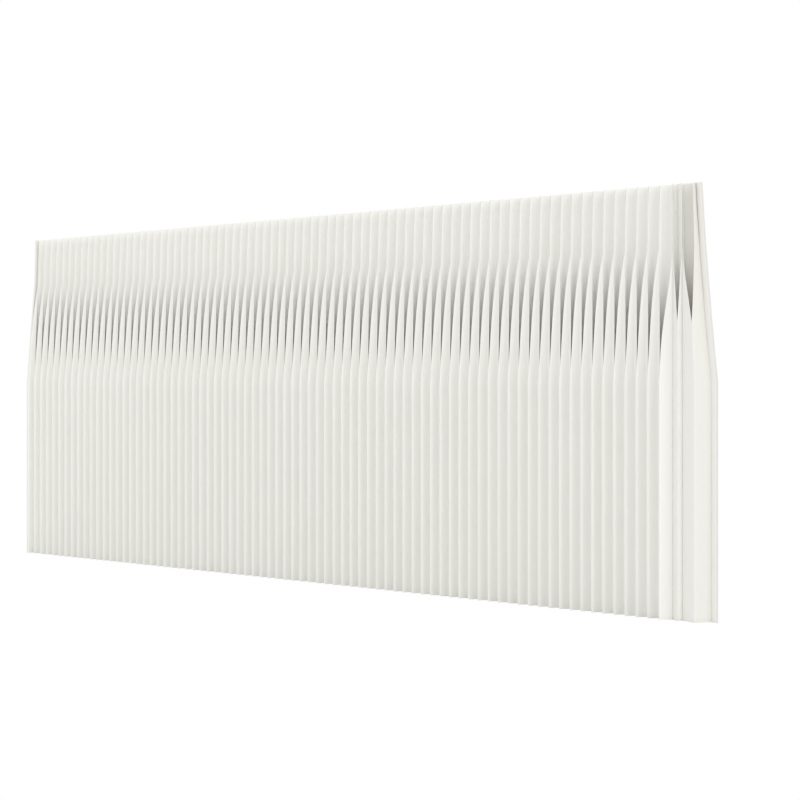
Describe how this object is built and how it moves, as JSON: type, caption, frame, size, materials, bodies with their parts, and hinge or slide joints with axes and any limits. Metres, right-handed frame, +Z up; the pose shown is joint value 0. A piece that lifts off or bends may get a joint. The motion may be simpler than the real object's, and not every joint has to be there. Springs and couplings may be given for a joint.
{
  "type": "pleated paper screen",
  "caption": "Free-standing room divider of tall white honeycomb paper, pleated front and back, leaning in above a knee and drawn out lengthwise.",
  "frame": {"origin": "on the floor, under the middle of the screen's box as drawn out in the picture", "axes": "+X along the length towards the fanned end, +Y from the picture's side to the back, +Z up"},
  "size_m": [4.7354, 0.43, 1.8],
  "materials": {
    "paper": "matt uncoated paper",
    "card": "matt board"
  },
  "bodies": {
    "block_01": {"left_end_panel": "card", "pleat_block_01": "paper"},
    "link_01": {"flex_pleats_01": "paper"},
    "block_02": {"pleat_block_02": "paper"},
    "link_02": {"flex_pleats_02": "paper"},
    "block_03": {"pleat_block_03": "paper"},
    "link_03": {"flex_pleats_03": "paper"},
    "block_04": {"pleat_block_04": "paper"},
    "link_04": {"flex_pleats_04": "paper"},
    "block_05": {"pleat_block_05": "paper"},
    "link_05": {"flex_pleats_05": "paper"},
    "block_06": {"pleat_block_06": "paper"},
    "link_06": {"flex_pleats_06": "paper"},
    "block_07": {"pleat_block_07": "paper"},
    "link_07": {"flex_pleats_07": "paper"},
    "block_08": {"pleat_block_08": "paper"},
    "link_08": {"flex_pleats_08": "paper"},
    "block_09": {"pleat_block_09": "paper"},
    "link_09": {"flex_pleats_09": "paper"},
    "block_10": {"pleat_block_10": "paper"},
    "link_10": {"flex_pleats_10": "paper"},
    "block_11": {"pleat_block_11": "paper"},
    "link_11": {"flex_pleats_11": "paper"},
    "block_12": {"pleat_block_12": "paper"},
    "link_12": {"flex_pleats_12": "paper"},
    "block_13": {"pleat_block_13": "paper"},
    "link_13": {"flex_pleats_13": "paper"},
    "block_14": {"pleat_block_14": "paper"},
    "link_14": {"flex_pleats_14": "paper"},
    "block_15": {"pleat_block_15": "paper"},
    "link_15": {"flex_pleats_15": "paper"},
    "block_16": {"pleat_block_16": "paper"},
    "link_16": {"flex_pleats_16": "paper"},
    "block_17": {"pleat_block_17": "paper"},
    "link_17": {"flex_pleats_17": "paper"},
    "block_18": {"pleat_block_18": "paper"},
    "link_18": {"flex_pleats_18": "paper"},
    "block_19": {"pleat_block_19": "paper"},
    "link_19": {"flex_pleats_19": "paper"},
    "block_20": {"pleat_block_20": "paper"},
    "link_20": {"flex_pleats_20": "paper"},
    "block_21": {"pleat_block_21": "paper"},
    "link_21": {"flex_pleats_21": "paper"},
    "block_22": {"pleat_block_22": "paper"},
    "link_22": {"flex_pleats_22": "paper"},
    "block_23": {"pleat_block_23": "paper"},
    "link_23": {"flex_pleats_23": "paper"},
    "block_24": {"pleat_block_24": "paper"},
    "link_24": {"flex_pleats_24": "paper"},
    "block_25": {"pleat_block_25": "paper"},
    "link_25": {"flex_pleats_25": "paper"},
    "block_26": {"pleat_block_26": "paper", "fan_pleat_01": "paper", "fan_pleat_02": "paper", "fan_pleat_03": "paper", "right_end_sheet": "card"}
  },
  "joints": [
    {"name": "draw_01", "type": "slide", "parent": "link_01", "child": "block_01", "axis": [-1, 0, 0], "range_m": [-0.03, 0.01]},
    {"name": "bend_01", "type": "hinge", "parent": "block_02", "child": "link_01", "pos_m": [-2.19606, 0, 0], "axis": [0, 0, -1], "range_deg": [-3, 3], "deforming": ["flex_pleats_01"]},
    {"name": "draw_02", "type": "slide", "parent": "link_02", "child": "block_02", "axis": [-1, 0, 0], "range_m": [-0.03, 0.01]},
    {"name": "bend_02", "type": "hinge", "parent": "block_03", "child": "link_02", "pos_m": [-2.01936, 0, 0], "axis": [0, 0, -1], "range_deg": [-3, 3], "deforming": ["flex_pleats_02"]},
    {"name": "draw_03", "type": "slide", "parent": "link_03", "child": "block_03", "axis": [-1, 0, 0], "range_m": [-0.03, 0.01]},
    {"name": "bend_03", "type": "hinge", "parent": "block_04", "child": "link_03", "pos_m": [-1.84266, 0, 0], "axis": [0, 0, -1], "range_deg": [-3, 3], "deforming": ["flex_pleats_03"]},
    {"name": "draw_04", "type": "slide", "parent": "link_04", "child": "block_04", "axis": [-1, 0, 0], "range_m": [-0.03, 0.01]},
    {"name": "bend_04", "type": "hinge", "parent": "block_05", "child": "link_04", "pos_m": [-1.66596, 0, 0], "axis": [0, 0, -1], "range_deg": [-3, 3], "deforming": ["flex_pleats_04"]},
    {"name": "draw_05", "type": "slide", "parent": "link_05", "child": "block_05", "axis": [-1, 0, 0], "range_m": [-0.03, 0.01]},
    {"name": "bend_05", "type": "hinge", "parent": "block_06", "child": "link_05", "pos_m": [-1.48926, 0, 0], "axis": [0, 0, -1], "range_deg": [-3, 3], "deforming": ["flex_pleats_05"]},
    {"name": "draw_06", "type": "slide", "parent": "link_06", "child": "block_06", "axis": [-1, 0, 0], "range_m": [-0.03, 0.01]},
    {"name": "bend_06", "type": "hinge", "parent": "block_07", "child": "link_06", "pos_m": [-1.31256, 0, 0], "axis": [0, 0, -1], "range_deg": [-3, 3], "deforming": ["flex_pleats_06"]},
    {"name": "draw_07", "type": "slide", "parent": "link_07", "child": "block_07", "axis": [-1, 0, 0], "range_m": [-0.03, 0.01]},
    {"name": "bend_07", "type": "hinge", "parent": "block_08", "child": "link_07", "pos_m": [-1.13586, 0, 0], "axis": [0, 0, -1], "range_deg": [-3, 3], "deforming": ["flex_pleats_07"]},
    {"name": "draw_08", "type": "slide", "parent": "link_08", "child": "block_08", "axis": [-1, 0, 0], "range_m": [-0.03, 0.01]},
    {"name": "bend_08", "type": "hinge", "parent": "block_09", "child": "link_08", "pos_m": [-0.95916, 0, 0], "axis": [0, 0, -1], "range_deg": [-3, 3], "deforming": ["flex_pleats_08"]},
    {"name": "draw_09", "type": "slide", "parent": "link_09", "child": "block_09", "axis": [-1, 0, 0], "range_m": [-0.03, 0.01]},
    {"name": "bend_09", "type": "hinge", "parent": "block_10", "child": "link_09", "pos_m": [-0.78246, 0, 0], "axis": [0, 0, -1], "range_deg": [-3, 3], "deforming": ["flex_pleats_09"]},
    {"name": "draw_10", "type": "slide", "parent": "link_10", "child": "block_10", "axis": [-1, 0, 0], "range_m": [-0.03, 0.01]},
    {"name": "bend_10", "type": "hinge", "parent": "block_11", "child": "link_10", "pos_m": [-0.60576, 0, 0], "axis": [0, 0, -1], "range_deg": [-3, 3], "deforming": ["flex_pleats_10"]},
    {"name": "draw_11", "type": "slide", "parent": "link_11", "child": "block_11", "axis": [-1, 0, 0], "range_m": [-0.03, 0.01]},
    {"name": "bend_11", "type": "hinge", "parent": "block_12", "child": "link_11", "pos_m": [-0.42906, 0, 0], "axis": [0, 0, -1], "range_deg": [-3, 3], "deforming": ["flex_pleats_11"]},
    {"name": "draw_12", "type": "slide", "parent": "link_12", "child": "block_12", "axis": [-1, 0, 0], "range_m": [-0.03, 0.01]},
    {"name": "bend_12", "type": "hinge", "parent": "block_13", "child": "link_12", "pos_m": [-0.25236, 0, 0], "axis": [0, 0, -1], "range_deg": [-3, 3], "deforming": ["flex_pleats_12"]},
    {"name": "draw_13", "type": "slide", "parent": "block_13", "child": "link_13", "axis": [1, 0, 0], "range_m": [-0.03, 0.01]},
    {"name": "bend_13", "type": "hinge", "parent": "link_13", "child": "block_14", "pos_m": [-0.07566, 0, 0], "axis": [0, 0, 1], "range_deg": [-3, 3], "deforming": ["flex_pleats_13"]},
    {"name": "draw_14", "type": "slide", "parent": "block_14", "child": "link_14", "axis": [1, 0, 0], "range_m": [-0.03, 0.01]},
    {"name": "bend_14", "type": "hinge", "parent": "link_14", "child": "block_15", "pos_m": [0.10104, 0, 0], "axis": [0, 0, 1], "range_deg": [-3, 3], "deforming": ["flex_pleats_14"]},
    {"name": "draw_15", "type": "slide", "parent": "block_15", "child": "link_15", "axis": [1, 0, 0], "range_m": [-0.03, 0.01]},
    {"name": "bend_15", "type": "hinge", "parent": "link_15", "child": "block_16", "pos_m": [0.27774, 0, 0], "axis": [0, 0, 1], "range_deg": [-3, 3], "deforming": ["flex_pleats_15"]},
    {"name": "draw_16", "type": "slide", "parent": "block_16", "child": "link_16", "axis": [1, 0, 0], "range_m": [-0.03, 0.01]},
    {"name": "bend_16", "type": "hinge", "parent": "link_16", "child": "block_17", "pos_m": [0.45444, 0, 0], "axis": [0, 0, 1], "range_deg": [-3, 3], "deforming": ["flex_pleats_16"]},
    {"name": "draw_17", "type": "slide", "parent": "block_17", "child": "link_17", "axis": [1, 0, 0], "range_m": [-0.03, 0.01]},
    {"name": "bend_17", "type": "hinge", "parent": "link_17", "child": "block_18", "pos_m": [0.63114, 0, 0], "axis": [0, 0, 1], "range_deg": [-3, 3], "deforming": ["flex_pleats_17"]},
    {"name": "draw_18", "type": "slide", "parent": "block_18", "child": "link_18", "axis": [1, 0, 0], "range_m": [-0.03, 0.01]},
    {"name": "bend_18", "type": "hinge", "parent": "link_18", "child": "block_19", "pos_m": [0.80784, 0, 0], "axis": [0, 0, 1], "range_deg": [-3, 3], "deforming": ["flex_pleats_18"]},
    {"name": "draw_19", "type": "slide", "parent": "block_19", "child": "link_19", "axis": [1, 0, 0], "range_m": [-0.03, 0.01]},
    {"name": "bend_19", "type": "hinge", "parent": "link_19", "child": "block_20", "pos_m": [0.98454, 0, 0], "axis": [0, 0, 1], "range_deg": [-3, 3], "deforming": ["flex_pleats_19"]},
    {"name": "draw_20", "type": "slide", "parent": "block_20", "child": "link_20", "axis": [1, 0, 0], "range_m": [-0.03, 0.01]},
    {"name": "bend_20", "type": "hinge", "parent": "link_20", "child": "block_21", "pos_m": [1.16124, 0, 0], "axis": [0, 0, 1], "range_deg": [-3, 3], "deforming": ["flex_pleats_20"]},
    {"name": "draw_21", "type": "slide", "parent": "block_21", "child": "link_21", "axis": [1, 0, 0], "range_m": [-0.03, 0.01]},
    {"name": "bend_21", "type": "hinge", "parent": "link_21", "child": "block_22", "pos_m": [1.33794, 0, 0], "axis": [0, 0, 1], "range_deg": [-3, 3], "deforming": ["flex_pleats_21"]},
    {"name": "draw_22", "type": "slide", "parent": "block_22", "child": "link_22", "axis": [1, 0, 0], "range_m": [-0.03, 0.01]},
    {"name": "bend_22", "type": "hinge", "parent": "link_22", "child": "block_23", "pos_m": [1.51464, 0, 0], "axis": [0, 0, 1], "range_deg": [-3, 3], "deforming": ["flex_pleats_22"]},
    {"name": "draw_23", "type": "slide", "parent": "block_23", "child": "link_23", "axis": [1, 0, 0], "range_m": [-0.03, 0.01]},
    {"name": "bend_23", "type": "hinge", "parent": "link_23", "child": "block_24", "pos_m": [1.69134, 0, 0], "axis": [0, 0, 1], "range_deg": [-3, 3], "deforming": ["flex_pleats_23"]},
    {"name": "draw_24", "type": "slide", "parent": "block_24", "child": "link_24", "axis": [1, 0, 0], "range_m": [-0.03, 0.01]},
    {"name": "bend_24", "type": "hinge", "parent": "link_24", "child": "block_25", "pos_m": [1.86804, 0, 0], "axis": [0, 0, 1], "range_deg": [-3, 3], "deforming": ["flex_pleats_24"]},
    {"name": "draw_25", "type": "slide", "parent": "block_25", "child": "link_25", "axis": [1, 0, 0], "range_m": [-0.03, 0.01]},
    {"name": "bend_25", "type": "hinge", "parent": "link_25", "child": "block_26", "pos_m": [2.04474, 0, 0], "axis": [0, 0, 1], "range_deg": [-3, 3], "deforming": ["flex_pleats_25"]}
  ],
  "couplings": [
    {"joint": "draw_01", "follows": "draw_13", "ratio": 1},
    {"joint": "draw_02", "follows": "draw_13", "ratio": 1},
    {"joint": "draw_03", "follows": "draw_13", "ratio": 1},
    {"joint": "draw_04", "follows": "draw_13", "ratio": 1},
    {"joint": "draw_05", "follows": "draw_13", "ratio": 1},
    {"joint": "draw_06", "follows": "draw_13", "ratio": 1},
    {"joint": "draw_07", "follows": "draw_13", "ratio": 1},
    {"joint": "draw_08", "follows": "draw_13", "ratio": 1},
    {"joint": "draw_09", "follows": "draw_13", "ratio": 1},
    {"joint": "draw_10", "follows": "draw_13", "ratio": 1},
    {"joint": "draw_11", "follows": "draw_13", "ratio": 1},
    {"joint": "draw_12", "follows": "draw_13", "ratio": 1},
    {"joint": "draw_14", "follows": "draw_13", "ratio": 1},
    {"joint": "draw_15", "follows": "draw_13", "ratio": 1},
    {"joint": "draw_16", "follows": "draw_13", "ratio": 1},
    {"joint": "draw_17", "follows": "draw_13", "ratio": 1},
    {"joint": "draw_18", "follows": "draw_13", "ratio": 1},
    {"joint": "draw_19", "follows": "draw_13", "ratio": 1},
    {"joint": "draw_20", "follows": "draw_13", "ratio": 1},
    {"joint": "draw_21", "follows": "draw_13", "ratio": 1},
    {"joint": "draw_22", "follows": "draw_13", "ratio": 1},
    {"joint": "draw_23", "follows": "draw_13", "ratio": 1},
    {"joint": "draw_24", "follows": "draw_13", "ratio": 1},
    {"joint": "draw_25", "follows": "draw_13", "ratio": 1}
  ]
}
